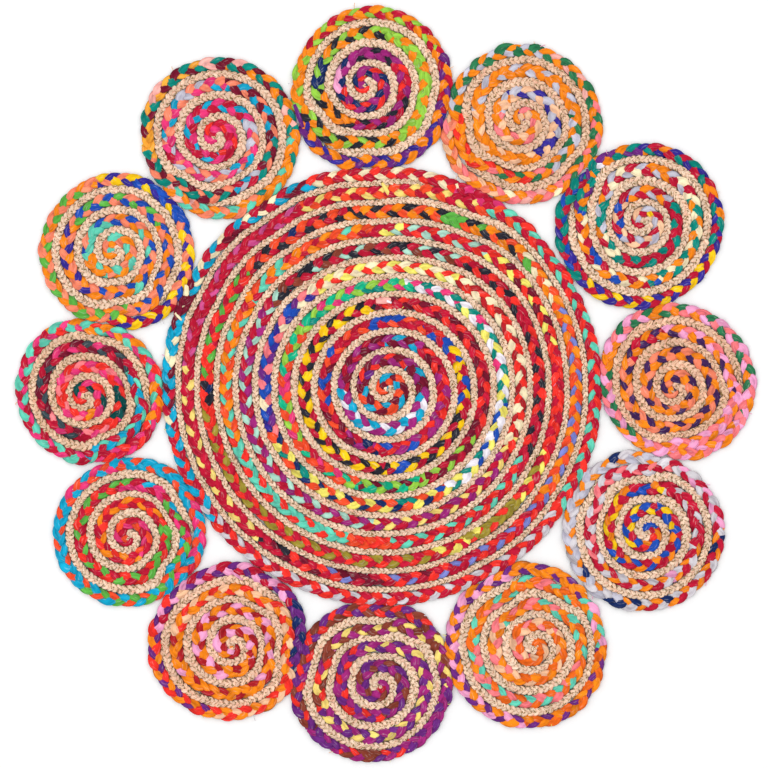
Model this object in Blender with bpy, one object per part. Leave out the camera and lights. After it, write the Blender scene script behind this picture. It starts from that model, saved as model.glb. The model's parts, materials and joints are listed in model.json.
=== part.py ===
"""A flower-shaped rug of thirteen flat coiled discs, sewn together where they touch.

Every disc is one long plait of cotton rag and one of jute, wound side by side from the middle
outwards, clockwise seen from above, and sewn into a flat round. A large disc lies in the
middle and twelve small ones stand round it like petals. Each disc is one solid here, with the
outline its outer turn gives it: slightly uneven, with a small step where the plait ends, and
pressed flat where it is sewn to its neighbours.

The origin is the middle of the large disc, on its underside. +Z is up and +Y points to the
first petal's side. A bearing is an angle in degrees, clockwise from +Y seen from above.
"""

import math
from collections import namedtuple

import bmesh
import bpy

# Driving dimensions, in metres
THICKNESS = 0.008
SEWN_GAP = 0.0003
END_TAPER = 14.0  # degrees of the outline over which a plait's end is tucked away

# A disc: where its middle lies, its mean radius, the oval and the three-sided wave of its
# outline with the bearings of their crests, and where its plait ends and how far it steps in.
Disc = namedtuple(
    "Disc", "name bearing distance radius oval oval_at wave wave_at end_at end_step colour"
)
CENTRE = Disc("disc_centre", 0, 0, 0.3525, 0.0020, 125, 0.0005, 100, 38, 0.004, "#B8283A")
PETALS = (
    Disc("disc_petal_01", -2, 0.477, 0.132, 0.0020, 25, 0.0013, 115, 255, 0.0040, "#8A3A78"),
    Disc("disc_petal_02", 28, 0.476, 0.129, 0.0005, 65, 0.0020, 115, 285, 0.0030, "#D9702C"),
    Disc("disc_petal_03", 58, 0.487, 0.134, 0.0028, 55, 0.0010, 50, 322, 0.0030, "#3C6C8E"),
    Disc("disc_petal_04", 89, 0.472, 0.126, 0.0035, 140, 0.0010, 85, 195, 0.0030, "#E58A6E"),
    Disc("disc_petal_05", 119, 0.479, 0.129, 0.0018, 125, 0.0014, 90, 20, 0.0030, "#B9A2AC"),
    Disc("disc_petal_06", 151, 0.476, 0.131, 0.0024, 160, 0.0008, 10, 58, 0.0035, "#E8823A"),
    Disc("disc_petal_07", 182, 0.473, 0.131, 0.0025, 65, 0.0010, 40, 58, 0.0040, "#8C2C6C"),
    Disc("disc_petal_08", 211, 0.478, 0.127, 0.0024, 50, 0.0022, 25, 120, 0.0020, "#D8604C"),
    Disc("disc_petal_09", 240, 0.468, 0.121, 0.0022, 65, 0.0008, 25, 148, 0.0025, "#C03A48"),
    Disc("disc_petal_10", 269, 0.470, 0.118, 0.0028, 130, 0.0013, 100, 182, 0.0025, "#C84A58"),
    Disc("disc_petal_11", 297, 0.476, 0.125, 0.0017, 145, 0.0022, 15, 195, 0.0025, "#E08A54"),
    Disc("disc_petal_12", 327, 0.477, 0.128, 0.0024, 150, 0.0015, 55, 238, 0.0030, "#B04A54"),
)
DISCS = (CENTRE,) + PETALS

# How many points go round an outline
CENTRE_POINTS = 144
PETAL_POINTS = 72

# The edge of a disc in section, from the underside up: the height as a share of the thickness
# and how far the plait's rounded side draws in there.
EdgeStep = namedtuple("EdgeStep", "height draw_in")
EDGE = (
    EdgeStep(0.00, 0.0024),
    EdgeStep(0.30, 0.0),
    EdgeStep(0.68, 0.0),
    EdgeStep(1.00, 0.0030),
)

COTTON_ROUGHNESS = 0.9


def middle(disc):
    """The middle of a disc on the floor, from its bearing and distance."""
    turn = math.radians(disc.bearing)
    return disc.distance * math.sin(turn), disc.distance * math.cos(turn)


def sewn_lines(disc):
    """The straight seams a disc is pressed against: the bearing and distance of each."""
    seams = []
    x, y = middle(disc)
    for other in DISCS:
        if other is disc:
            continue
        other_x, other_y = middle(other)
        apart = math.hypot(other_x - x, other_y - y)
        if apart > 1.5 * (disc.radius + other.radius):
            continue
        seam_at = (apart**2 + disc.radius**2 - other.radius**2) / (2 * apart)
        bearing = math.degrees(math.atan2(other_x - x, other_y - y))
        seams.append((bearing, seam_at - SEWN_GAP / 2))
    return seams


def free_radius(disc, bearing):
    """The outline before it is pressed against its neighbours."""
    oval = disc.oval * math.cos(2 * math.radians(bearing - disc.oval_at))
    wave = disc.wave * math.cos(3 * math.radians(bearing - disc.wave_at))
    past_end = (bearing - disc.end_at) % 360
    grown = past_end / 360 - 0.5
    taper = max(0.0, 1 - past_end / END_TAPER)
    return disc.radius + oval + wave + disc.end_step * (grown + taper)


def pressed_radius(disc, bearing, seams, draw_in):
    """The outline at a bearing, kept on its own side of every seam."""
    radius = free_radius(disc, bearing)
    for seam_bearing, seam_at in seams:
        facing = math.cos(math.radians(bearing - seam_bearing))
        if facing > 0:
            radius = min(radius, seam_at / facing)
    return radius - draw_in


def ring(mesh, disc, seams, step, points):
    """One closed ring of points at a step of the edge."""
    x, y = middle(disc)
    corners = []
    for number in range(points):
        bearing = 360 * number / points
        radius = pressed_radius(disc, bearing, seams, step.draw_in)
        turn = math.radians(bearing)
        place = (x + radius * math.sin(turn), y + radius * math.cos(turn), THICKNESS * step.height)
        corners.append(mesh.verts.new(place))
    return corners


def cap(mesh, corners, centre):
    """A flat face, filled from its centre out."""
    for number, corner in enumerate(corners):
        mesh.faces.new((centre, corner, corners[number - 1]))


def cotton(disc):
    """The colour that the disc's rags give together."""
    material = bpy.data.materials.new(disc.name + "_rag")
    material.use_nodes = True
    shader = material.node_tree.nodes["Principled BSDF"]
    parts = (disc.colour[1:3], disc.colour[3:5], disc.colour[5:7])
    red, green, blue = ((int(part, 16) / 255) ** 2.2 for part in parts)
    shader.inputs["Base Color"].default_value = (red, green, blue, 1)
    shader.inputs["Roughness"].default_value = COTTON_ROUGHNESS
    shader.inputs["Metallic"].default_value = 0.0
    return material


def coiled_disc(disc, points):
    """A flat disc with a rounded edge, as one closed solid."""
    mesh = bmesh.new()
    seams = sewn_lines(disc)
    rings = [ring(mesh, disc, seams, step, points) for step in EDGE]
    for lower, upper in zip(rings, rings[1:]):
        for number in range(points):
            mesh.faces.new((lower[number - 1], lower[number], upper[number], upper[number - 1]))
    x, y = middle(disc)
    cap(mesh, rings[0], mesh.verts.new((x, y, 0)))
    cap(mesh, rings[-1], mesh.verts.new((x, y, THICKNESS)))
    bmesh.ops.triangulate(mesh, faces=mesh.faces)
    bmesh.ops.recalc_face_normals(mesh, faces=mesh.faces)
    data = bpy.data.meshes.new(disc.name)
    mesh.to_mesh(data)
    mesh.free()
    data.materials.append(cotton(disc))
    data.shade_smooth()
    data.set_sharp_from_angle(angle=math.radians(25))
    solid = bpy.data.objects.new(disc.name, data)
    bpy.context.scene.collection.objects.link(solid)
    return solid


for leftover in list(bpy.data.objects):
    bpy.data.objects.remove(leftover)

rug = bpy.data.objects.new("rug", None)
bpy.context.scene.collection.objects.link(rug)
coiled_disc(CENTRE, CENTRE_POINTS).parent = rug
for petal in PETALS:
    coiled_disc(petal, PETAL_POINTS).parent = rug
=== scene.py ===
import json
import math
from collections import namedtuple

import bpy
import numpy as np
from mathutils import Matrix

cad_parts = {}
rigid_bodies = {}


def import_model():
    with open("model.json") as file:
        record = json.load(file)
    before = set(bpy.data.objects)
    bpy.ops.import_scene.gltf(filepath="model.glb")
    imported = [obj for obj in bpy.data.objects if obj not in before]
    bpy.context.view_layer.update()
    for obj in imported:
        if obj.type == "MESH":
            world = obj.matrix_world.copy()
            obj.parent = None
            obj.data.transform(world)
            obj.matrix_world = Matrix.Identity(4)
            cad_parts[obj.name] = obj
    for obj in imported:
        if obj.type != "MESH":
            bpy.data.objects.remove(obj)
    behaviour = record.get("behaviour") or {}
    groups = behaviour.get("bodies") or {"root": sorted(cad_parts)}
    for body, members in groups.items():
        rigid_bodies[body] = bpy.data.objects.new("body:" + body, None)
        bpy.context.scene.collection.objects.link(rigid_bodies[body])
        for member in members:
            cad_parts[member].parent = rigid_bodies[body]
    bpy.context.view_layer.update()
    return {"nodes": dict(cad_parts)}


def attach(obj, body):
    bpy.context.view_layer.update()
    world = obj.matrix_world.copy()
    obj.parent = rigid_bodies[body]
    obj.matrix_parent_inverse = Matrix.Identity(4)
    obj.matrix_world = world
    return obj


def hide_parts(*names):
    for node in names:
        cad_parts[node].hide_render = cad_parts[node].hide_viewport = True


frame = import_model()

# The room: a plain near-white floor under wide, soft light from straight above, and a camera
# over the middle of the rug that looks straight down on it.

FLOOR_SIZE = 12.0
FLOOR_LEVEL = -0.0005  # a hair below the rug's underside
FLOOR_DULLER = (0.96, 0.96, 0.96, 1)
FLOOR_WHITER = (0.99, 0.99, 0.99, 1)
VIEW_WIDTH = 1.2335  # how much floor the camera takes in, at the height of the rug
VIEW_MIDDLE = (0.003, 0.004)
LENS, SENSOR = 85.0, 36.0
SKY_STRENGTH = 0.84
Lamp = namedtuple("Lamp", "place power")
LAMPS = (Lamp((-1.3, 0.1, 3.2), 24.0), Lamp((1.3, 1.5, 3.2), 16.0))
LAMP_SIZE = 2.2


def linear(code):
    """A colour as the shaders take it, from its six hexadecimal digits."""
    parts = (code[1:3], code[3:5], code[5:7])
    shares = [int(part, 16) / 255 for part in parts]
    return [s / 12.92 if s <= 0.04045 else ((s + 0.055) / 1.055) ** 2.4 for s in shares]


class Value:
    """A number that a node gives, for sums written as expressions."""

    def __init__(self, shader, socket):
        self.shader = shader
        self.socket = socket

    def sum_with(self, operation, first, second):
        return self.shader.node("Math", {"operation": operation}, {0: first, 1: second})

    def __add__(self, other):
        return self.sum_with("ADD", self, other)

    def __radd__(self, other):
        return self.sum_with("ADD", other, self)

    def __sub__(self, other):
        return self.sum_with("SUBTRACT", self, other)

    def __rsub__(self, other):
        return self.sum_with("SUBTRACT", other, self)

    def __mul__(self, other):
        return self.sum_with("MULTIPLY", self, other)

    def __rmul__(self, other):
        return self.sum_with("MULTIPLY", other, self)


class Shader:
    """A material whose nodes are added one by one."""

    def __init__(self, name):
        self.material = bpy.data.materials.new(name)
        self.material.use_nodes = True
        self.surface = self.material.node_tree.nodes["Principled BSDF"]

    def node(self, kind, settings, inputs, output=0):
        """Adds a node: its settings first, then its sockets' values or links."""
        made = self.material.node_tree.nodes.new("ShaderNode" + kind)
        for name, setting in settings.items():
            setattr(made, name, setting)
        self.fill(made, inputs)
        return Value(self, made.outputs[output])

    def fill(self, node, inputs):
        for name, given in inputs.items():
            if isinstance(given, Value):
                self.material.node_tree.links.new(given.socket, node.inputs[name])
            else:
                node.inputs[name].default_value = given

    def mixed(self, share, first, second, blend="MIX"):
        """Two colours mixed by a share."""
        settings = {"data_type": "RGBA", "blend_type": blend}
        return self.node("Mix", settings, {"Factor": share, 6: first, 7: second}, 2)


def floor_paint():
    shader = Shader("floor_paint")
    place = shader.node("TexCoord", {}, {}, "Object")
    grain = shader.node("TexNoise", {}, {"Vector": place, "Scale": 60.0, "Detail": 3.0})
    shade = shader.mixed(grain, FLOOR_DULLER, FLOOR_WHITER)
    shader.fill(shader.surface, {"Base Color": shade, "Roughness": 0.9})
    return shader.material


# The three objects that a new file starts with
for leftover in [o for o in bpy.data.objects if o.name in ("Cube", "Light", "Camera")]:
    bpy.data.objects.remove(leftover)
bpy.ops.object.select_all(action="DESELECT")
bpy.ops.mesh.primitive_plane_add(size=FLOOR_SIZE, location=(0, 0, FLOOR_LEVEL))
floor = bpy.context.object
floor.name = "floor"
floor.data.materials.append(floor_paint())

sky = bpy.data.worlds.new("soft_light")
sky.use_nodes = True
sky.node_tree.nodes["Background"].inputs["Color"].default_value = (1, 1, 1, 1)
sky.node_tree.nodes["Background"].inputs["Strength"].default_value = SKY_STRENGTH
bpy.context.scene.world = sky

for given in LAMPS:
    bpy.ops.object.light_add(type="AREA", location=given.place)
    lamp = bpy.context.object
    lamp.name = "softbox"
    lamp.data.shape = "DISK"
    lamp.data.size = LAMP_SIZE
    lamp.data.energy = given.power
    lamp.rotation_euler = (-lamp.location).to_track_quat("-Z", "Y").to_euler()

bpy.ops.object.camera_add(location=(*VIEW_MIDDLE, VIEW_WIDTH * LENS / SENSOR))
camera = bpy.context.object
camera.data.lens = LENS
camera.data.sensor_width = SENSOR
bpy.context.scene.camera = camera
bpy.context.scene.view_settings.view_transform = "Standard"

# The cotton plaits: three folded strips of waste cotton, plaited flat and wound on edge to edge
# with a jute plait into a round. Every disc has one, and it ends in its outer edge, where it
# narrows and is tucked against the turn before.

# For each disc, the bearings at which its cotton plait and its jute plait end, and how far its
# innermost turns lie off the even round, in millimetres: to the right, up and outwards. A
# bearing is an angle in degrees, clockwise from +Y seen from above.
Winding = namedtuple("Winding", "cotton_end jute_end right up out")
WINDINGS = {
    "disc_centre": Winding(38, 15, 8.5, -4.5, -7.6),
    "disc_petal_01": Winding(255, 218, -9.0, 7.5, 0.5),
    "disc_petal_02": Winding(285, 235, 1.0, 5.5, -1.5),
    "disc_petal_03": Winding(322, 293, 5.0, 7.0, 1.1),
    "disc_petal_04": Winding(195, 100, -4.8, -12.5, -1.0),
    "disc_petal_05": Winding(20, 320, 7.0, -1.6, -1.6),
    "disc_petal_06": Winding(58, 357, 15.0, -1.6, -1.0),
    "disc_petal_07": Winding(58, 25, 9.8, -7.0, -3.8),
    "disc_petal_08": Winding(120, 60, 8.0, -7.5, -1.6),
    "disc_petal_09": Winding(148, 92, -1.0, -7.5, 2.9),
    "disc_petal_10": Winding(182, 107, -7.5, -8.0, 4.0),
    "disc_petal_11": Winding(195, 145, -6.0, 0.0, -0.5),
    "disc_petal_12": Winding(238, 190, -7.5, 0.0, -1.1),
}

STRANDS = 3  # in every plait

# A plait: how wide it lies, the length in which a strand comes back to its side, how far a
# strand swings sideways and how far it rises, half its width and half its thickness, and the
# height of the plait's middle. Then how sharply a strand turns back at a side, how full each
# strand is beside the others, how many steps one period and how many sides a strand has, and
# the share by which the plait narrows on the outermost turns.
Plait = namedtuple(
    "Plait",
    "width period swing rise half_wide half_thick middle steepness shares steps sides narrower",
)
COTTON = Plait(
    width=0.0196, period=0.0515, swing=0.0055, rise=0.0022, half_wide=0.0055,
    half_thick=0.0019, middle=0.0042, steepness=1.05, shares=(1.08, 1.08, 0.84),
    steps=14, sides=8, narrower=0.0,
)
COTTON_WIDE = COTTON._replace(width=0.0202, swing=0.0057)

# The strips' colours, by their dyers' names
RAGS = {
    "scarlet": "#F2352C", "vermilion": "#F5502D", "crimson": "#C01C38", "brick": "#B3232A",
    "maroon": "#781A30", "orange": "#F9891C", "rust": "#EE6A20", "gold": "#F9A838",
    "salmon": "#FA8868", "coral": "#FF7E84", "peach": "#F9C39A", "cream": "#F8E8BE",
    "lemon": "#F5E96B", "yellow": "#FFCC1A", "straw": "#F9DC78", "lime": "#98D048",
    "leaf": "#5FB548", "forest": "#2E7A50", "emerald": "#18B888", "mint": "#63D0B4",
    "pale_mint": "#A9D8C4", "teal": "#0E8A7C", "bottle": "#0C4A48", "turquoise": "#16A6CC",
    "royal": "#2250B4", "indigo": "#3A2F96", "navy": "#1B2F63", "black": "#2A2A34",
    "slate": "#3F4F55", "aubergine": "#46285A", "violet": "#6E2C80", "plum": "#A02A78",
    "orchid": "#D2508E",
    "magenta": "#E83A78", "pink": "#F5A3CC", "lilac": "#C4C2D0", "grey": "#D2CDD2",
    "white": "#F3EEF5", "periwinkle": "#7A82CC", "blush": "#FCB2A8", "olive": "#A08F34",
    "brown": "#8A4030",
}

# The strips in each plait, turn by turn from the outermost in. A stretch begins at its bearing,
# going clockwise, with a strip in each of the three strands. Any further colours turn up in it
# now and then.
STRETCHES = {
    "disc_centre": (
        "38 scarlet crimson mint, 128 crimson scarlet grey, 230 turquoise crimson scarlet,"
        "262 turquoise turquoise maroon cream, 290 turquoise crimson cream maroon,"
        "345 crimson scarlet cream, 25 crimson magenta crimson",
        "38 orange vermilion cream leaf, 65 vermilion orange periwinkle,"
        "130 scarlet crimson periwinkle, 155 crimson scarlet periwinkle maroon,"
        "195 crimson scarlet maroon black, 215 crimson crimson straw, 280 crimson crimson orchid,"
        "332 crimson vermilion straw, 22 vermilion crimson mint",
        "38 scarlet maroon lemon, 72 scarlet crimson scarlet, 108 scarlet crimson lemon olive,"
        "130 olive scarlet olive, 152 lemon lemon scarlet, 157 olive crimson scarlet,"
        "262 black scarlet navy, 278 scarlet crimson leaf, 308 vermilion black crimson navy,"
        "350 orange vermilion black leaf",
        "38 crimson scarlet black crimson, 115 crimson scarlet mint, 182 vermilion vermilion scarlet,"
        "196 scarlet mint mint, 250 vermilion orange mint, 300 vermilion orange crimson mint,"
        "358 lemon crimson scarlet, 5 scarlet crimson pale_mint",
        "38 cream scarlet brick, 115 crimson plum straw, 185 crimson plum pale_mint,"
        "302 crimson brown pale_mint black",
        "38 white lemon teal magenta, 90 white lemon royal teal, 150 vermilion lemon navy teal,"
        "245 cream coral indigo royal violet, 325 cream lemon scarlet",
        "38 crimson scarlet maroon, 120 crimson maroon lime, 160 emerald lime maroon,"
        "195 vermilion crimson emerald magenta, 235 emerald vermilion lime magenta,"
        "305 lime emerald magenta teal, 15 white teal magenta",
        "38 crimson royal scarlet, 55 yellow crimson royal, 75 royal crimson yellow black,"
        "110 crimson black yellow royal, 175 yellow crimson black,"
        "350 crimson scarlet maroon",
        "38 maroon crimson scarlet, 75 crimson plum scarlet, 120 plum crimson scarlet royal,"
        "190 crimson navy plum, 215 crimson maroon vermilion royal,"
        "300 crimson crimson vermilion royal",
        "38 plum maroon turquoise, 80 plum turquoise white maroon, 270 plum maroon crimson,"
        "355 plum maroon turquoise",
        "38 maroon vermilion turquoise, 280 plum maroon scarlet violet",
        "38 vermilion maroon turquoise",
    ),
    "disc_petal_01": (
        "255 orange lime orange, 300 orange crimson lime, 60 orange violet crimson,"
        "110 orange violet indigo",
        "255 orange lime black, 268 navy navy lime, 302 orange lime black, 15 lime orange lime,"
        "150 orange lime black",
        "255 plum plum navy pink, 320 plum plum black, 45 plum crimson black scarlet,"
        "205 orange orange black lime",
        "255 scarlet plum navy",
    ),
    "disc_petal_02": (
        "285 orange forest lilac, 10 orange forest blush, 70 orange forest coral,"
        "145 orange coral cream blush, 200 orange salmon peach coral",
        "285 orange orange lilac, 85 orange lilac forest, 150 orange coral forest scarlet,"
        "215 orange orange scarlet",
        "285 orange peach lilac, 330 peach lilac indigo, 110 indigo indigo peach,"
        "150 orange orange peach",
        "285 orange peach violet, 350 peach orange coral",
    ),
    "disc_petal_03": (
        "322 teal orange white violet, 0 teal crimson indigo orange, 100 yellow indigo crimson,"
        "230 teal crimson royal indigo",
        "322 crimson cream lilac orange, 60 orange teal cream, 165 orange crimson cream royal,"
        "280 orange teal violet",
        "322 crimson orange lilac, 50 crimson teal crimson cream, 250 crimson orange lilac teal",
        "322 crimson lilac peach, 10 crimson lilac yellow, 40 crimson lilac peach,"
        "235 crimson royal peach",
    ),
    "disc_petal_04": (
        "195 pink forest coral orange, 120 orange coral pink",
        "195 orange salmon aubergine, 290 orange crimson aubergine,"
        "345 orange pink aubergine coral, 95 pink coral orange",
        "195 orange salmon aubergine",
        "195 salmon orange aubergine",
    ),
    "disc_petal_05": (
        "20 crimson grey pink, 90 crimson grey orange navy, 200 grey lilac orange navy",
        "20 crimson crimson grey, 100 crimson grey orange pink, 140 pink grey pink,"
        "160 crimson grey orange, 230 crimson grey coral",
        "20 royal crimson yellow, 85 crimson orange royal, 230 crimson orange yellow royal",
        "20 royal crimson orange, 60 scarlet royal orange, 200 crimson royal yellow",
    ),
    "disc_petal_06": (
        "58 orange pink mint, 90 orange rust violet, 185 orange pink violet,"
        "345 orange orange violet",
        "58 orange rust mint coral, 130 coral rust mint, 230 orange rust mint coral",
        "58 rust orange peach, 200 orange coral peach, 310 orange rust mint coral",
        "58 rust rust peach, 200 rust peach coral",
    ),
    "disc_petal_07": (
        "58 brown plum straw, 90 violet plum plum, 145 violet plum scarlet brown,"
        "205 violet violet plum, 235 violet brown scarlet plum, 330 brown violet scarlet",
        "58 plum violet straw, 245 plum scarlet straw brown, 310 plum brown straw",
        "58 plum violet brown, 160 plum violet scarlet, 345 plum violet straw",
        "58 plum crimson brown, 160 plum violet brown",
    ),
    "disc_petal_08": (
        "120 scarlet orange peach, 200 scarlet orange violet, 275 scarlet pink violet crimson,"
        "312 peach peach violet, 325 crimson pink violet, 60 violet navy violet",
        "120 orange orange brick pink, 285 orange peach scarlet",
        "120 orange brick orange, 190 orange pink brick",
        "120 brick pink orange",
    ),
    "disc_petal_09": (
        "148 turquoise leaf vermilion, 215 turquoise turquoise vermilion,"
        "290 magenta turquoise vermilion, 350 turquoise turquoise vermilion,"
        "60 turquoise magenta vermilion crimson",
        "148 crimson scarlet leaf, 350 crimson leaf turquoise magenta, 90 turquoise leaf vermilion",
        "148 crimson scarlet orange, 70 leaf scarlet leaf crimson",
        "148 crimson vermilion magenta",
    ),
    "disc_petal_10": (
        "182 mint crimson magenta, 320 mint orange magenta scarlet, 115 scarlet crimson magenta",
        "182 crimson maroon slate magenta, 225 crimson coral slate magenta,"
        "245 maroon crimson slate magenta, 60 crimson turquoise mint",
        "182 scarlet magenta coral scarlet, 75 scarlet bottle bottle,"
        "130 scarlet magenta coral scarlet",
        "182 scarlet magenta bottle orange",
    ),
    "disc_petal_11": (
        "195 salmon leaf orange, 340 yellow salmon indigo royal, 135 yellow crimson indigo",
        "195 orange salmon indigo, 305 royal salmon leaf, 60 royal salmon orange,"
        "165 salmon leaf orange",
        "195 orange orange mint, 265 orange salmon royal mint",
        "195 orange mint salmon",
    ),
    "disc_petal_12": (
        "238 teal maroon salmon, 258 gold gold gold, 272 teal maroon gold blush,"
        "0 teal orange maroon blush, 65 teal orange blush, 85 orange orange mint teal,"
        "150 orange salmon mint, 195 orange blush mint maroon",
        "238 magenta crimson lilac, 265 salmon magenta turquoise lilac, 0 maroon turquoise salmon,"
        "90 maroon teal salmon, 130 crimson turquoise lilac, 160 teal maroon salmon",
        "238 crimson magenta turquoise, 55 turquoise magenta salmon lilac,"
        "150 salmon magenta lilac",
        "238 magenta crimson scarlet, 160 magenta crimson turquoise",
    ),
}
ODD_RAG = 0.16  # how often each of a stretch's further colours turns up
JOIN_SPREAD = 0.02  # how far a change of strip may lie off its bearing, in turns
SHADE_SPREAD = 0.07  # how much lighter or darker than its colour a strip lies at a crossing

RIM = 0.1  # the share of a disc's thickness at top and bottom that isn't its outer edge


def disc_outline(node):
    """A disc's middle and its outer edge, as radii at a row of bearings in radians."""
    points = np.empty(len(node.data.vertices) * 3)
    node.data.vertices.foreach_get("co", points)
    points = points.reshape(-1, 3)
    low, high = points[:, 2].min(), points[:, 2].max()
    rim = RIM * (high - low)
    at_edge = (points[:, 2] > low + rim) & (points[:, 2] < high - rim)
    edge = points[at_edge, :2]
    # The circle nearest to the edge: x2 + y2 = 2 a x + 2 b y + c
    terms = np.column_stack([2 * edge, np.ones(len(edge))])
    middle = np.linalg.lstsq(terms, (edge**2).sum(1), rcond=None)[0][:2]
    across = edge - middle
    bearings = np.arctan2(across[:, 0], across[:, 1]) % (2 * math.pi)
    order = np.argsort(bearings)
    return middle, bearings[order], np.hypot(*across[order].T)


def eased(share):
    """A smooth step from 0 to 1."""
    share = np.clip(share, 0, 1)
    return share * share * (3 - 2 * share)


FIRST_STEP = 0.06  # the part of a turn in which the outermost turn gives way to the next
STEP_SPREAD = 1.9  # how much longer that takes from one turn to the next one in
STEP_SPREAD_WIDE = 1.35  # the same on the large disc, which has more turns
STEP_BEGUN, FIRST_BEGUN = 0.5, 0.1  # how much of a step lies before its bearing
EVEN_WITHIN = 2.6  # the turns round the middle that grow evenly
OUT_WITHIN = 3.0  # the turns round the middle, at the least, that may lie further out or in
OFF_ROUND = 1.3  # how far out from the middle the innermost turns' offset still tells
OFF_ROUND_FADE = 1.5  # and how quickly it fades
TUCKED_IN = 0.005  # how far a plait's start reaches straight into the middle


class Coil:
    """How the two plaits of a disc wind. A place along them is told in turns in from the end of
    the cotton plait. The cotton turns keep their distance from the edge for most of a round,
    and step outwards where the jute and then the cotton of the outermost turn end."""

    FINE = 1440  # places worked out in each turn

    def __init__(self, name, cotton_width, jute_width):
        self.middle, self.bearings, self.reach = disc_outline(frame["nodes"][name])
        self.mean = self.reach.mean()
        self.winding = WINDINGS[name]
        self.cotton_width = cotton_width
        self.jute_width = jute_width
        self.pitch = cotton_width + jute_width
        self.wide = name == "disc_centre"
        self.jute_lag = ((self.winding.cotton_end - self.winding.jute_end) % 360) / 360
        turns = self.mean / self.pitch + 2  # two more than there is room for
        self.turns = np.arange(0, turns, 1 / self.FINE)
        self.depth = self.cotton_depth(self.turns)
        self.spacing = (self.cotton_depth(self.turns + 1) - self.depth) / self.pitch
        bearings = self.bearing(self.turns)
        radii = self.radius(self.turns, 0.0)
        outwards = np.stack([np.sin(bearings), np.cos(bearings)], 1)
        radii = radii + (self.shift(radii) * outwards).sum(1)
        room = (radii[: -self.FINE] - radii[self.FINE :]) / self.pitch
        room = np.append(room, np.full(self.FINE, room[-1]))
        with_jute = self.turns > self.jute_lag + FIRST_STEP
        self.room = np.where(with_jute, room, 1.0)

    def cotton_depth(self, turns):
        """How far in from the edge the middle of the cotton plait lies."""
        steps_of_cotton = np.zeros_like(turns)
        steps_of_jute = np.zeros_like(turns)
        spread = STEP_SPREAD_WIDE if self.wide else STEP_SPREAD
        for number in range(1, int(turns.max()) + 2):
            length = min(1.0, FIRST_STEP * spread ** (number - 1))
            past = turns - number
            begun = FIRST_BEGUN if number == 1 else STEP_BEGUN
            steps_of_cotton += eased(past / length + begun)
            steps_of_jute += eased((past - self.jute_lag) / length + begun)
        steps = self.cotton_width * steps_of_cotton + self.jute_width * steps_of_jute
        even = self.pitch * (turns - 0.5) - self.jute_width * self.jute_lag
        left = (self.mean - self.cotton_width / 2 - even) / self.pitch
        evenness = eased(EVEN_WITHIN - left)
        out_within = max(OUT_WITHIN, self.mean / self.pitch / 2)
        out = np.minimum(OFF_ROUND * np.clip(1 - left / out_within, 0, 1) ** 2, 1)
        depth = self.cotton_width / 2 + steps + evenness * (even - steps)
        return depth - out * self.winding.out / 1000

    def bearing(self, turns):
        """The bearing of a place, in radians."""
        return np.radians(self.winding.cotton_end - 360 * turns)

    def radius(self, turns, further_in):
        """Distance from the middle: the disc's own outline, rounder towards the middle."""
        depth = np.interp(turns, self.turns, self.depth) + further_in
        reach = np.interp(self.bearing(turns), self.bearings, self.reach, period=2 * math.pi)
        inside = np.clip((self.mean - depth + self.cotton_width / 2) / self.mean, 0, 1)
        return (self.mean - depth) * (1 + (reach / self.mean - 1) * inside)

    def shift(self, radii):
        """How far off the even round a turn lies at these radii, to the right and up."""
        inside = np.clip(1 - radii / self.mean, 0, 1)
        core = np.minimum(OFF_ROUND * inside**OFF_ROUND_FADE, 1)[:, None]
        return core * np.array([self.winding.right, self.winding.up]) / 1000

    def line(self, outer, start_radius, further_in, step):
        """Evenly spaced places along a plait, from its start near the middle, which is tucked
        straight in, to its end at `outer` turns in: the distance run, the turns, the points
        and the outward directions."""
        turns = self.turns[self.turns >= outer]
        beside = further_in * np.interp(turns, self.turns, self.spacing)
        radii = self.radius(turns, beside)
        kept = np.arange(len(turns)) < np.argmax(np.append(radii, 0) < start_radius)
        turns, radii = turns[kept][::-1], radii[kept][::-1]
        bearings = self.bearing(turns)
        points = np.stack([np.sin(bearings), np.cos(bearings)], 1) * radii[:, None]
        points = points + self.shift(radii)
        first = points[1] - points[0]
        points = np.vstack([points[0] - TUCKED_IN * first / np.hypot(*first), points])
        turns = np.append(turns[0], turns)
        run = np.append(0, np.cumsum(np.hypot(*np.diff(points, axis=0).T)))
        even = np.arange(0, run[-1], step)
        turns = np.interp(even, run, turns)
        points = np.stack([np.interp(even, run, p) for p in points.T], 1)
        ahead = np.gradient(points, axis=0)
        ahead /= np.hypot(*ahead.T)[:, None]
        outward = np.stack([-ahead[:, 1], ahead[:, 0]], 1)
        return even, turns, points + self.middle, outward


SQUARED = 0.55  # below 1 a strand's section is fuller than an ellipse


def strand_grid(path, level, half_wide, half_thick, roll, sides):
    """Flattened tubes along strands: path is (strands, places, 3) and level the directions
    across each strand on the flat. Gives points as (strands, places, sides, 3)."""
    angles = 2 * math.pi * (np.arange(sides) + 0.5) / sides - math.pi / 2
    across = np.sign(np.cos(angles)) * np.abs(np.cos(angles)) ** SQUARED
    upwards = np.sign(np.sin(angles)) * np.abs(np.sin(angles)) ** SQUARED
    ahead = np.gradient(path, axis=1)
    ahead /= np.linalg.norm(ahead, axis=2, keepdims=True)
    up = np.cross(level, ahead)
    up /= np.linalg.norm(up, axis=2, keepdims=True)
    turned = np.cos(roll)[..., None] * level + np.sin(roll)[..., None] * up
    raised = np.cos(roll)[..., None] * up - np.sin(roll)[..., None] * level
    wide = (half_wide[..., None] * across)[..., None] * turned[:, :, None]
    thick = (half_thick[..., None] * upwards)[..., None] * raised[:, :, None]
    return path[:, :, None] + wide + thick


STRAND_APART = 3.7  # metres on the strand map from one strand to the next
ROW_GAP = 0.6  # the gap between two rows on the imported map, in sides of a strand


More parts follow.
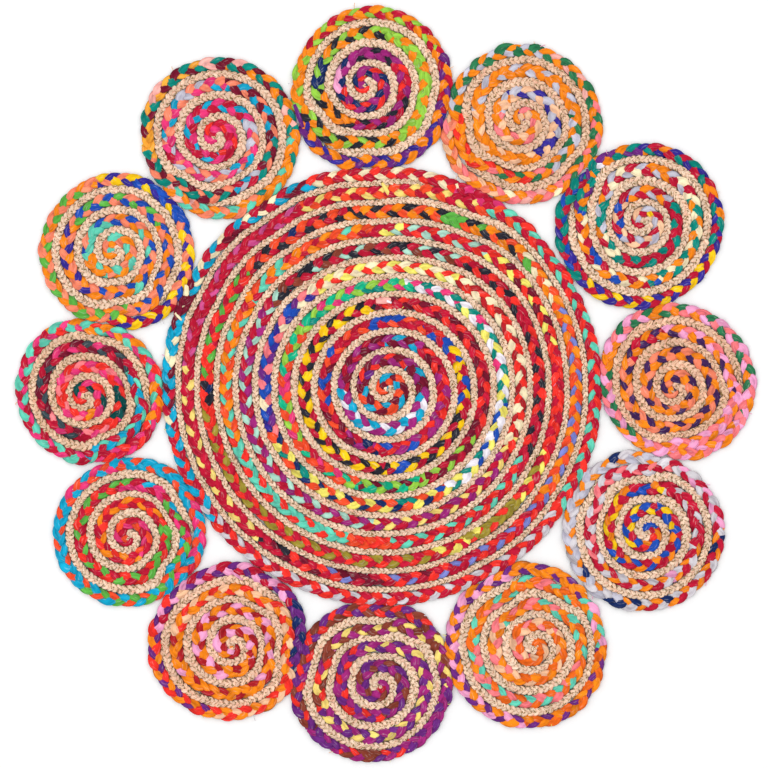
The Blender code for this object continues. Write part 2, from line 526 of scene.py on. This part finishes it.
def strand_map(grid, run):
    """Where each face's corners lie along and around its strand, in metres, caps last."""
    strands, places, sides = grid.shape[:3]
    around = np.linalg.norm(grid - np.roll(grid, -1, 2), axis=3).sum(2).mean()
    side = np.arange(sides)
    begin = np.broadcast_to(run[:-1][None, :, None], (strands, places - 1, sides))
    finish = np.broadcast_to(run[1:][None, :, None], begin.shape)
    shift = np.broadcast_to(STRAND_APART * np.arange(strands)[:, None, None], begin.shape)
    low = np.broadcast_to(side * around / sides, begin.shape)
    high = low + around / sides
    along = np.stack([begin, begin, finish, finish], -1) + shift[..., None]
    across = np.stack([low, high, high, low], -1)
    cap_along = np.zeros((2 * strands, sides))
    cap_across = np.broadcast_to(side * around / sides, cap_along.shape)
    walls = np.stack([along, across], -1).reshape(-1, 2)
    return np.concatenate([walls, np.stack([cap_along, cap_across], -1).reshape(-1, 2)])


def packed_map(strands, places, sides):
    """The same corners on a square from 0 to 1, with the strands cut up and laid in rows."""
    side = np.arange(sides)
    segment = np.arange(strands * (places - 1)).reshape(strands, places - 1, 1)
    rows = max(1, round(math.sqrt(segment.size / sides)))
    columns = math.ceil(segment.size / rows)
    left = np.broadcast_to((segment % columns) / columns, (strands, places - 1, sides))
    right = left + 1 / columns
    bottom = (segment // columns + side / (sides + ROW_GAP)) / rows
    top = (segment // columns + (side + 1) / (sides + ROW_GAP)) / rows
    walls = np.stack(
        [np.stack([left, left, right, right], -1), np.stack([bottom, top, top, bottom], -1)], -1
    ).reshape(-1, 2)
    cap = np.stack([side % 2, side // 2 % 2], 1) / columns / 2
    return np.concatenate([walls, np.tile(cap, (2 * strands, 1))])


def tube_mesh(name, grid, run, colours):
    """One mesh of closed tubes from a grid of points, with a map that runs along and around
    each strand, a map that packs the strands in rows, the height of each point on its strand
    from -1 to 1, and a colour for each face."""
    strands, places, sides = grid.shape[:3]
    ring = np.arange(strands * places * sides).reshape(strands, places, sides)
    lower, upper = ring[:, :-1], ring[:, 1:]
    quads = np.stack(
        [lower, np.roll(lower, -1, 2), np.roll(upper, -1, 2), upper], axis=-1
    ).reshape(-1, 4)
    caps = np.concatenate([ring[:, 0, ::-1], ring[:, -1]])
    data = bpy.data.meshes.new(name)
    data.vertices.add(ring.size)
    data.vertices.foreach_set("co", grid.ravel())
    corners = np.concatenate([quads.ravel(), caps.ravel()])
    data.loops.add(len(corners))
    data.loops.foreach_set("vertex_index", corners)
    of_quads = np.arange(len(quads)) * 4
    of_caps = len(quads) * 4 + np.arange(len(caps)) * sides
    starts = np.append(of_quads, of_caps)
    data.polygons.add(len(starts))
    data.polygons.foreach_set("loop_start", starts)

    maps = {"strand": strand_map(grid, run), "OFBake": packed_map(strands, places, sides)}
    for map_name, spots in maps.items():
        layer = data.uv_layers.new(name=map_name)
        layer.uv.foreach_set("vector", spots.astype(np.float32).ravel())
    above = grid[..., 2] - grid[..., 2].mean(2, keepdims=True)
    above /= np.abs(above).max(2, keepdims=True)
    crown = data.attributes.new("crown", "FLOAT", "POINT")
    crown.data.foreach_set("value", above.astype(np.float32).ravel())
    wall_shades = np.repeat(colours.reshape(-1, 1, 3), sides, axis=1).reshape(-1, 3)
    cap_shades = colours[:, [0, -1]].transpose(1, 0, 2).reshape(-1, 3)
    shades = np.concatenate([wall_shades, cap_shades])
    shades = np.concatenate([shades, np.ones((len(shades), 1))], 1)
    rag = data.attributes.new("rag", "FLOAT_COLOR", "FACE")
    rag.data.foreach_set("color", shades.astype(np.float32).ravel())
    data.update(calc_edges=True)
    data.validate()
    data.shade_smooth()
    piece = bpy.data.objects.new(name, data)
    bpy.context.scene.collection.objects.link(piece)
    return piece


CREST_AT = 0.25  # how far into a half swing a strand lies highest


def per_cell(chance, turn, low, high):
    """A chance value for each half swing of each strand, running smoothly into the next."""
    drawn = chance.uniform(low, high, (turn.shape[0], int(turn.max() / math.pi) + 3))
    spots = math.pi * (np.arange(drawn.shape[1]) + CREST_AT)
    return np.stack([np.interp(t, spots, d) for t, d in zip(turn, drawn)])


START_TAPER, START_LEAST = 0.016, 0.9  # how long a plait's start is drawn in, and to what
END_LEAST = 0.3  # what is left of its width at the tip of its end


def tapered(run, end):
    """1 along the plait, a little less at its start and drawn to a point over its end."""
    begins = START_LEAST + (1 - START_LEAST) * eased(run / START_TAPER)
    return begins * (END_LEAST + (1 - END_LEAST) * eased((run[-1] - run) / end))


STRIP_LENGTH = 0.16  # about how far a strip keeps its fullness
WANDER, WANDER_LENGTH = 0.0007, 0.028  # how far a plait strays from its even line


def smooth_chance(chance, run, length):
    """Chance values from -1 to 1 that run smoothly into one another along a plait."""
    spots = np.arange(0, run[-1] + 2 * length, length)
    return np.interp(run, spots, chance.uniform(-1, 1, len(spots)))


def fullness(chance, run, spread, shares):
    """How full each strand is along the plait. They make up for one another."""
    spots = np.arange(0, run[-1] + STRIP_LENGTH, STRIP_LENGTH)
    drawn = chance.uniform(1 - spread, 1 + spread, (STRANDS, len(spots)))
    drawn *= np.array(shares)[:, None]
    drawn /= drawn.mean(0)
    return np.stack([np.interp(run, spots, d) for d in drawn])


NARROW_TURNS = 7.0  # the outermost turns in which a plait may run narrower
# How unevenly a strand is laid from crossing to crossing
UNEVEN_TURN = 0.32  # how early or late it turns back, in radians of its swing
UNEVEN_SWING = 0.15  # how far off its place at a side it lies, as a share of its swing
UNEVEN_RISE = 0.0004  # how much higher it may lie
UNEVEN_SINK = 0.6  # and how much lower, as a share of that
UNEVEN_WIDE, UNEVEN_THICK = 0.22, 0.12  # shares of its width and its thickness
UNEVEN_ROLL = 0.25  # how far it tips over, in radians
UNDERSIDE = 0.0002  # how close to the floor a plait comes


def plait(coil, style, outer, start_radius, further_in, chance, taper, spread):
    """Lays a plait's strands over and under one another along a coil. Gives the grid of points,
    the distance run, how far each strand's swing has gone, and the turns."""
    step = style.period / style.steps
    run, turns, points, outward = coil.line(outer, start_radius, further_in, step)
    room_inside = np.interp(turns, coil.turns, coil.room)
    room_outside = room_inside
    if not further_in:
        room_outside = np.interp(turns - 1, coil.turns, coil.room, left=1.0)
    narrowed = 1 - style.narrower * eased(1 - turns / NARROW_TURNS)
    wide = (room_inside + room_outside) / 2 * narrowed
    wander = WANDER * smooth_chance(chance, run, WANDER_LENGTH)
    aside = style.width / 4 * (room_outside - room_inside) + wander
    points = points + aside[:, None] * outward
    ends = tapered(run, taper)
    swing = style.swing * wide * ends
    apart = 2 * math.pi / STRANDS * np.arange(STRANDS)
    turn = 2 * math.pi * (run / style.period) + apart[:, None]
    turn = turn + UNEVEN_TURN * per_cell(chance, turn, -1, 1)
    crossing = np.tanh(style.steepness * np.sin(turn)) / math.tanh(style.steepness)
    sideways = swing * (crossing + UNEVEN_SWING * per_cell(chance, turn, -1, 1))
    height = style.middle + style.rise * ends * np.sin(2 * turn)
    height = height + UNEVEN_RISE * per_cell(chance, turn, -UNEVEN_SINK, 1)
    flat = points[None] + sideways[..., None] * outward[None]
    path = np.concatenate([flat, height[..., None]], 2)
    ahead = np.gradient(path, axis=1)
    level = np.stack([-ahead[..., 1], ahead[..., 0], np.zeros_like(height)], 2)
    level /= np.linalg.norm(level, axis=2, keepdims=True)
    full = fullness(chance, run, spread, style.shares)
    wider = 1 + per_cell(chance, turn, -UNEVEN_WIDE, UNEVEN_WIDE)
    half_wide = style.half_wide * wide * ends * full * wider
    thicker = 1 + per_cell(chance, turn, -UNEVEN_THICK, UNEVEN_THICK)
    half_thick = style.half_thick * ends * thicker
    roll = per_cell(chance, turn, -UNEVEN_ROLL, UNEVEN_ROLL)
    grid = strand_grid(path, level, half_wide, half_thick, roll, style.sides)
    grid[..., 2] = np.maximum(grid[..., 2], UNDERSIDE)
    return grid, run, turn, turns


def rag_colours(name, coil, turn, turns, chance):
    """The colour of each stretch of each strand, from the list of strips."""
    begins, strips = [], []
    for number, stretches in enumerate(STRETCHES[name], 1):
        for stretch in stretches.split(","):
            bearing, *rags = stretch.split()
            begins.append(number - ((int(bearing) - coil.winding.cotton_end) % 360) / 360)
            strips.append([linear(RAGS[rag]) for rag in rags])
    order = np.argsort(begins)
    begins = np.array(begins)[order]
    strips = [strips[i] for i in order]
    colours = np.zeros((*turn.shape, 3))
    for strand in range(STRANDS):
        joins = begins + chance.uniform(-JOIN_SPREAD, JOIN_SPREAD, len(begins))
        which = np.searchsorted(np.maximum.accumulate(joins), turns).clip(0, len(strips) - 1)
        cell = (turn[strand] / math.pi + CREST_AT).astype(int)
        odd = chance.uniform(size=cell.max() + 1)
        shade = chance.normal(1, SHADE_SPREAD, cell.max() + 1)
        for place, (stretch, c) in enumerate(zip(which, cell)):
            rags = strips[stretch]
            extra = len(rags) - STRANDS
            taken = rags[strand]
            if extra and odd[c] < ODD_RAG * extra:
                taken = rags[STRANDS + int(odd[c] / ODD_RAG)]
            colours[strand, place] = np.array(taken) * shade[c]
    return colours.clip(0, 1)[:, :-1]


def drawn_noise(shader, strip, along, around, detail):
    """Noise on a strand's own map, at one scale along the strand and another around it."""
    drawn = shader.node("Mapping", {}, {"Vector": strip, "Scale": (along, around, 1.0)})
    return shader.node("TexNoise", {}, {"Vector": drawn, "Scale": 1.0, "Detail": detail})


RAG_LIT = (1.12, 1.12, 1.12, 1)  # what a strip's colour is multiplied by for the painted highlight on its creases
RAG_PAINTED_FOLD_SHADE = (0.66, 0.62, 0.66, 1)  # and for the painted shade down in its folds
RAG_FOLD_LIGHT_SHARPNESS, RAG_FOLD_LIGHT_LIT_SHARE = 3.5, 0.7  # how sharply the painted highlight on the creases and the painted shade in the folds part, and how much of the strip is painted lit
RAG_LINT = (1, 0.96, 0.92, 1)
RAG_WORN_ABOVE, RAG_WORN = 0.58, 1.5  # where the noise shows lint, and how strongly
RAG_SHADE = (0.01, 0, 0.01, 1)
RAG_SHADE_SHARE = 0.75
RAG_SIDE, RAG_SIDE_SHADE = 0.6, 0.6  # how far down a strand's sides shade begins; how strong
RAG_SHADED_BELOW = 0.0052  # the height under which a strand lies in its neighbours' shade
RAG_SHADED_PER_METRE = 120
RAG_WEAVE = 0.15  # the share of the relief that is the weave of the cloth


def cotton_cloth():
    """Creased cotton in the colour of each strip, with painted highlights on its creases, painted
    shade in its folds, lint on its crests, and painted shade on its sides and where it lies low
    between its neighbours.
    """
    shader = Shader("rag_cotton")
    rag = shader.node("Attribute", {"attribute_name": "rag"}, {}, "Color")
    strip = shader.node("UVMap", {"uv_map": "strand"}, {})
    wrinkles = drawn_noise(shader, strip, along=70.0, around=340.0, detail=4.0)
    lint = drawn_noise(shader, strip, along=90.0, around=900.0, detail=2.0)
    weave = drawn_noise(shader, strip, along=2600.0, around=2600.0, detail=1.0)
    crown = shader.node("Attribute", {"attribute_name": "crown"}, {}, "Fac")
    place = shader.node("TexCoord", {}, {}, "Object")
    height = shader.node("SeparateXYZ", {}, {"Vector": place}, "Z")
    # Painted highlight and painted shade: a lit and a shaded copy of each strip's colour, mixed along
    # the wrinkles.
    lit = shader.mixed(1.0, rag, RAG_LIT, "MULTIPLY")
    painted_fold_shade = shader.mixed(1.0, rag, RAG_PAINTED_FOLD_SHADE, "MULTIPLY")
    painted_fold_light = shader.mixed((wrinkles - 0.5) * RAG_FOLD_LIGHT_SHARPNESS + RAG_FOLD_LIGHT_LIT_SHARE, painted_fold_shade, lit)
    # Lint streaks laid over the painted highlight and painted shade of the folds.
    lint_and_painted_fold_light = shader.mixed((lint - RAG_WORN_ABOVE) * RAG_WORN, painted_fold_light, RAG_LINT)
    sides = (RAG_SIDE - crown) * RAG_SIDE_SHADE
    shaded = sides + (RAG_SHADED_BELOW - height) * RAG_SHADED_PER_METRE
    cloth = shader.mixed(shaded, lint_and_painted_fold_light, shader.mixed(RAG_SHADE_SHARE, rag, RAG_SHADE))
    relief = wrinkles * (1 - RAG_WEAVE) + weave * RAG_WEAVE
    bump = shader.node("Bump", {}, {"Strength": 0.8, "Distance": 0.0020, "Height": relief})
    shader.fill(shader.surface, {
        "Base Color": cloth, "Roughness": 0.86 + lint * 0.14, "Normal": bump,
        "Sheen Weight": 0.02, "Sheen Roughness": 0.5, "Specular IOR Level": 0.03,
    })
    return shader.material


cotton_material = cotton_cloth()

JUTE_WIDTH, JUTE_WIDTH_WIDE = 0.0125, 0.0100
COTTON_SEED = 100
COTTON_START = 0.0045  # how far from the middle of a disc its cotton plait begins
COTTON_TAPER = 0.034  # the length over which it is drawn in at its end
COTTON_SPREAD = 0.18  # how much fuller or leaner a strip may be than its share
ON_TOP = 0.3  # how far up its rise a strand counts as lying on top

coils, crests, lies = {}, [], []
for number, name in enumerate(WINDINGS):
    chance = np.random.default_rng(COTTON_SEED + number)
    style = COTTON_WIDE if name == "disc_centre" else COTTON
    jute_width = JUTE_WIDTH_WIDE if name == "disc_centre" else JUTE_WIDTH
    coils[name] = Coil(name, style.width, jute_width)
    grid, run, turn, turns = plait(
        coils[name], style, 0.0, COTTON_START, 0.0, chance, COTTON_TAPER, COTTON_SPREAD
    )
    colours = rag_colours(name, coils[name], turn, turns, chance)
    piece = tube_mesh(name.replace("disc", "cotton_plait"), grid, run, colours)
    piece.data.materials.append(cotton_material)
    strand = np.linalg.norm(np.diff(grid.mean(2), axis=1), axis=2).sum(1).mean()
    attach(piece, "root")
    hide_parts(name)
    top = grid[:, :, COTTON.sides // 2 - 1 : COTTON.sides // 2 + 1].mean(2)
    over = np.sin(2 * turn) > ON_TOP
    crests.append(top[over])
    lies.append(np.gradient(top, axis=1)[over])

# The jute plaits: three bundles of raw jute fibre, plaited flat and narrower than the cotton,
# wound in between its turns. Each starts the coil in the middle of its disc and ends a little
# before the cotton, tapered in between the last two cotton turns.

JUTE = Plait(
    width=0.0125, period=0.0250, swing=0.0043, rise=0.0021, half_wide=0.0032,
    half_thick=0.0020, middle=0.0046, steepness=0.7, shares=(1, 1, 1),
    steps=8, sides=6, narrower=0.0,
)
JUTE_WIDE = JUTE._replace(
    width=0.0100, period=0.0236, swing=0.0037, half_wide=0.0028, narrower=0.15
)
JUTE_SEED = 300
JUTE_START = 0.0012  # how far from the middle of a disc its jute plait begins
JUTE_TAPER = 0.045  # the length over which it is drawn in at its end
JUTE_SPREAD = 0.10  # how much fuller or leaner a bundle may be than its share
JUTE_TONE_SPREAD = 0.10  # how much lighter or darker the fibre of one bundle runs
JUTE_TONE_LENGTH = 0.03  # and over what length
JUTE_CELL_SPREAD = 0.14  # the same for one stretch of a bundle between two crossings
# The discs whose jute is browner: what is left of its red, green and blue
BROWNER = {
    "disc_petal_02": (0.96, 0.88, 0.84),
    "disc_petal_04": (0.97, 0.84, 0.79),
    "disc_petal_08": (1.00, 0.90, 0.88),
    "disc_petal_10": (0.94, 0.88, 0.83),
    "disc_petal_12": (0.98, 0.94, 0.94),
}
JUTE_DULL, JUTE_PALE = (*linear("#E8AE82"), 1), (*linear("#FFEAD4"), 1)
JUTE_WARM, JUTE_BARK = (*linear("#F8A286"), 1), (*linear("#8A6E3C"), 1)
JUTE_CONTRAST, JUTE_DULLER = 3.0, 0.9  # how sharply dull and pale part, and how much is dull
JUTE_WARM_ABOVE, JUTE_WARMTH = 0.53, 4.0  # where the noise shows warmer fibre, how strongly
JUTE_BARK_ABOVE, JUTE_SPECKS = 0.54, 9.0  # where it shows specks of bark, how strongly
JUTE_SHADE = (*linear("#55421F"), 1)
JUTE_SIDE, JUTE_SIDE_SHADE = 0.72, 0.9  # how far down a bundle's sides shade begins; how strong
JUTE_SHADED_BELOW = 0.0070  # the height under which a bundle lies in its neighbours' shade
JUTE_SHADED_PER_METRE = 330


def jute_fibre():
    """Fine pale fibre that runs along each bundle, with specks of bark and shaded sides."""
    shader = Shader("jute_fibre")
    strip = shader.node("UVMap", {"uv_map": "strand"}, {})
    fibres = drawn_noise(shader, strip, along=150.0, around=2400.0, detail=3.0)
    blots = drawn_noise(shader, strip, along=160.0, around=260.0, detail=2.0)
    flecks = drawn_noise(shader, strip, along=280.0, around=520.0, detail=1.0)
    crown = shader.node("Attribute", {"attribute_name": "crown"}, {}, "Fac")
    place = shader.node("TexCoord", {}, {}, "Object")
    height = shader.node("SeparateXYZ", {}, {"Vector": place}, "Z")
    body = shader.mixed(fibres * JUTE_CONTRAST - JUTE_DULLER, JUTE_DULL, JUTE_PALE)
    tone = shader.node("Attribute", {"attribute_name": "rag"}, {}, "Color")
    body = shader.mixed(1.0, body, tone, "MULTIPLY")
    warm = shader.mixed((blots - JUTE_WARM_ABOVE) * JUTE_WARMTH, body, JUTE_WARM)
    specked = shader.mixed((flecks - JUTE_BARK_ABOVE) * JUTE_SPECKS, warm, JUTE_BARK)
    sides = (JUTE_SIDE - crown) * JUTE_SIDE_SHADE
    shaded = sides + (JUTE_SHADED_BELOW - height) * JUTE_SHADED_PER_METRE
    fibre = shader.mixed(shaded, specked, JUTE_SHADE)
    bump = shader.node("Bump", {}, {"Strength": 0.7, "Distance": 0.0009, "Height": fibres})
    shader.fill(shader.surface, {
        "Base Color": fibre, "Roughness": 0.62 + fibres * 0.3, "Normal": bump,
        "Sheen Weight": 0.1, "Specular IOR Level": 0.3,
    })
    return shader.material


jute_material = jute_fibre()
for number, (name, coil) in enumerate(coils.items()):
    chance = np.random.default_rng(JUTE_SEED + number)
    style = JUTE_WIDE if name == "disc_centre" else JUTE
    beside = coil.pitch / 2
    grid, run, turn, _ = plait(
        coil, style, coil.jute_lag, JUTE_START, beside, chance, JUTE_TAPER, JUTE_SPREAD
    )
    drift = np.stack([smooth_chance(chance, run, JUTE_TONE_LENGTH) for _ in range(STRANDS)])
    tones = 1 + JUTE_TONE_SPREAD * drift
    tones = tones * (1 + JUTE_CELL_SPREAD * per_cell(chance, turn, -1, 1))
    tones = tones[:, :-1, None] * BROWNER.get(name, (1.0, 1.0, 1.0))
    piece = tube_mesh(name.replace("disc", "jute_plait"), grid, run, tones)
    piece.data.materials.append(jute_material)
    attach(piece, "root")
    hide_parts(name)

# The loose rag ends: where a new strip was laid in, or a plait ends against another disc, the
# end of a strip lies open on top. Cut from the same cotton strips, tucked in at one end.

# A rag end: its colour, where it comes up, where it ends and how wide it lies, in millimetres
RagEnd = namedtuple("RagEnd", "rag from_right from_up to_right to_up wide")
RAG_ENDS = (
    RagEnd("violet", -127.0, 415.0, -140.7, 452.0, 7.5),
    RagEnd("blush", -9.8, 137.0, 14.3, 138.0, 11.0),
    RagEnd("white", -2.0, 141.0, 15.0, 134.0, 5.0),
    RagEnd("straw", 11.1, 307.4, -0.2, 326.0, 7.0),
    RagEnd("pink", -223.4, -309.3, -239.4, -298.1, 4.5),
    RagEnd("maroon", -325.0, 136.0, -325.0, 113.0, 10.0),
    RagEnd("cream", -333.0, 119.0, -321.0, 106.0, 4.5),
    RagEnd("cream", -313.3, 163.0, -313.3, 145.0, 8.0),
)
RAG_END_LEVEL = 0.0082  # the height at which an end lies on the plaits
RAG_END_ARCH = 0.0008  # how much higher it is half way
RAG_END_SUNK = 0.0012  # how much lower where it comes up
RAG_END_HALF_THICK = 0.0009
RAG_END_PLACES = 7
RAG_END_NARROWEST = 0.55  # its width between the strands, as a share of its full width
RAG_END_FROM, RAG_END_TO = 0.15, 0.9  # the part of a half wave by which it widens and narrows

share = np.linspace(0, 1, RAG_END_PLACES)
sizes = np.array([end[1:] for end in RAG_ENDS]) / 1000
begin, finish, wide = sizes[:, 0:2], sizes[:, 2:4], sizes[:, 4]
flat = begin[:, None] + share[:, None] * (finish - begin)[:, None]
raised = RAG_END_LEVEL + RAG_END_ARCH * np.sin(math.pi * share)
raised = raised - RAG_END_SUNK * (1 - share) ** 2
path = np.concatenate([flat, np.broadcast_to(raised[:, None], flat[..., :1].shape)], 2)
length = np.hypot(*(finish - begin).T)
ahead = (finish - begin) / length[:, None]
across = np.stack([-ahead[:, 1], ahead[:, 0], np.zeros(len(ahead))], 1)
across = np.repeat(across[:, None], RAG_END_PLACES, axis=1)
swelling = np.sin(math.pi * (RAG_END_FROM + (RAG_END_TO - RAG_END_FROM) * share))
narrowed = RAG_END_NARROWEST + (1 - RAG_END_NARROWEST) * swelling
half_wide = wide[:, None] / 2 * narrowed
half_thick = np.full(half_wide.shape, RAG_END_HALF_THICK)
grid = strand_grid(path, across, half_wide, half_thick, np.zeros_like(half_wide), COTTON.sides)
shades = np.array([linear(RAGS[end.rag]) for end in RAG_ENDS])
colours = np.repeat(shades[:, None], RAG_END_PLACES - 1, axis=1)
piece = tube_mesh("rag_ends", grid, share * length.mean(), colours)
piece.data.materials.append(cotton_material)
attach(piece, "root")
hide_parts(*WINDINGS)
area = (wide * length).sum() * narrowed.mean()

# The thread ends: short ends of the pale cotton thread that sews the turns together, and single
# threads that the torn edges of the strips have let go. Each is held at one end between the
# strands and lies loose over the plait.

THREADS = 1200
THREAD_SEED = 500
THREAD_HALF = 0.0006  # half its thickness
THREAD_PLACES = 5
THREAD_SIDES = 3
THREAD_SHORTEST, THREAD_LONGEST = 0.005, 0.012
THREAD_LIFT_LEAST, THREAD_LIFT_MOST = 0.0003, 0.0010  # how high they arch over the plait
THREAD_ASTRAY = 0.8  # how far threads lie off the strand's direction, in radians
THREAD_CURL = 1.2  # how far they curl round from end to end, in radians
THREAD_SHADES = ("white", "cream", "grey", "pink", "lemon", "peach")


def thread_cotton():
    shader = Shader("thread_cotton")
    rag = shader.node("Attribute", {"attribute_name": "rag"}, {}, "Color")
    shader.fill(shader.surface, {"Base Color": rag, "Roughness": 0.95})
    return shader.material


chance = np.random.default_rng(THREAD_SEED)
crests, lies = np.concatenate(crests), np.concatenate(lies)
chosen = chance.choice(len(crests), THREADS, replace=False)
heading = np.arctan2(lies[chosen, 1], lies[chosen, 0])
heading = heading + chance.normal(0, THREAD_ASTRAY, THREADS)
length = chance.uniform(THREAD_SHORTEST, THREAD_LONGEST, THREADS)
bend = chance.normal(0, THREAD_CURL, THREADS)
share = np.linspace(0, 1, THREAD_PLACES)
facing = heading[:, None] + bend[:, None] * share
step = length[:, None] / (THREAD_PLACES - 1)
path = np.empty((THREADS, THREAD_PLACES, 3))
path[..., 0] = crests[chosen, 0, None] + np.cumsum(np.cos(facing) * step, axis=1)
path[..., 1] = crests[chosen, 1, None] + np.cumsum(np.sin(facing) * step, axis=1)
lift = chance.uniform(THREAD_LIFT_LEAST, THREAD_LIFT_MOST, THREADS)
path[..., 2] = crests[chosen, 2, None] + np.sin(math.pi * share) * lift[:, None]
across = np.stack([-np.sin(facing), np.cos(facing), np.zeros_like(facing)], 2)
half = np.full(facing.shape, THREAD_HALF)
grid = strand_grid(path, across, half, half, np.zeros_like(half), THREAD_SIDES)
shades = np.array([linear(RAGS[shade]) for shade in THREAD_SHADES])
colours = shades[chance.integers(len(shades), size=THREADS)]
colours = np.repeat(colours[:, None], THREAD_PLACES - 1, axis=1)
piece = tube_mesh("thread_ends", grid, share * length.mean(), colours)
piece.data.materials.append(thread_cotton())
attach(piece, "root")
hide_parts(*WINDINGS)
